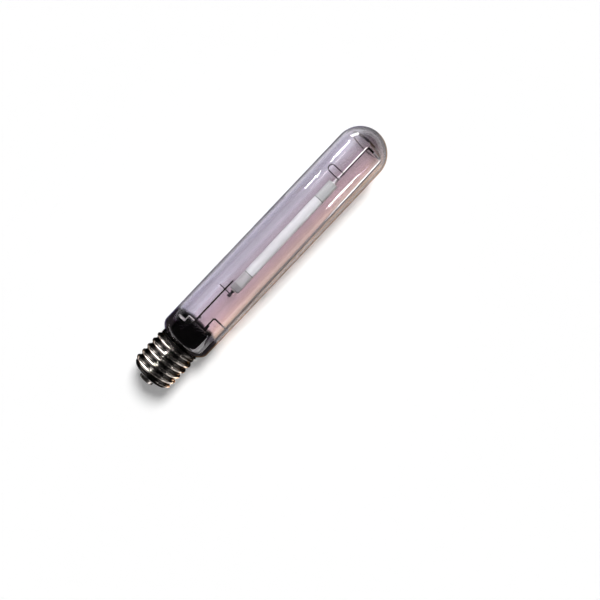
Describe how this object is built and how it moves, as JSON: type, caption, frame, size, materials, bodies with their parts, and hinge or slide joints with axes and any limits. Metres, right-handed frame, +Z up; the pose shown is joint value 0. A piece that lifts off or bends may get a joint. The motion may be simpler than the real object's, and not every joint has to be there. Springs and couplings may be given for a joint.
{
  "type": "high pressure sodium lamp",
  "caption": "Tubular high pressure sodium discharge lamp: a ceramic arc tube on a wire frame inside a tinted clear glass bulb with a large screw cap.",
  "frame": {"origin": "centre of the contact button's outer face, on the lamp's axis", "axes": "+X along the lamp's axis from the contact button to the dome; the wire frame lies level in the XY plane with its long side rod on -Y; +Z up"},
  "size_m": [0.288, 0.0464, 0.0465],
  "materials": {
    "bulb_glass": "clear tinted glass",
    "stem_glass": "clear glass",
    "alumina": "translucent sintered alumina",
    "niobium": "satin",
    "frit": "fused sealing glass",
    "tungsten": "dull drawn wire",
    "mount_wire": "drawn nickelled wire, darkened by heat",
    "loop_wire": "drawn wire",
    "hoop_strip": "rolled strip",
    "ignition_metal": "drawn wire",
    "getter_metal": "pressed channel",
    "cap_nickel": "bright nickel plate on brass",
    "black_glass": "black moulded glass",
    "contact_metal": "dull nickel plate",
    "solder": "bright solder",
    "cement": "matt set cement",
    "lead_out_wire": "tinned copper wire"
  },
  "bodies": {
    "root": {"outer_bulb": "bulb_glass", "stem": "stem_glass", "exhaust_tube": "stem_glass", "left_lead_in": "mount_wire", "right_lead_in": "mount_wire", "support_rod": "mount_wire", "frame_wire": "mount_wire", "frame_link": "mount_wire", "cross_wire": "mount_wire", "expansion_loop": "loop_wire", "dome_ring": "hoop_strip", "arc_tube": "alumina", "lower_plug": "alumina", "upper_plug": "alumina", "lower_frit": "frit", "upper_frit": "frit", "lower_niobium_tube": "niobium", "upper_niobium_tube": "niobium", "lower_electrode": "tungsten", "upper_electrode": "tungsten", "lower_coil": "tungsten", "upper_coil": "tungsten", "ignition_wire": "ignition_metal", "getter_ring": "getter_metal", "getter_stalk": "getter_metal", "cap_shell": "cap_nickel", "cap_insulator": "black_glass", "centre_contact": "contact_metal", "contact_solder": "solder", "side_solder": "solder", "cap_cement": "cement", "centre_lead_out": "lead_out_wire", "side_lead_out": "lead_out_wire"}
  },
  "joints": []
}
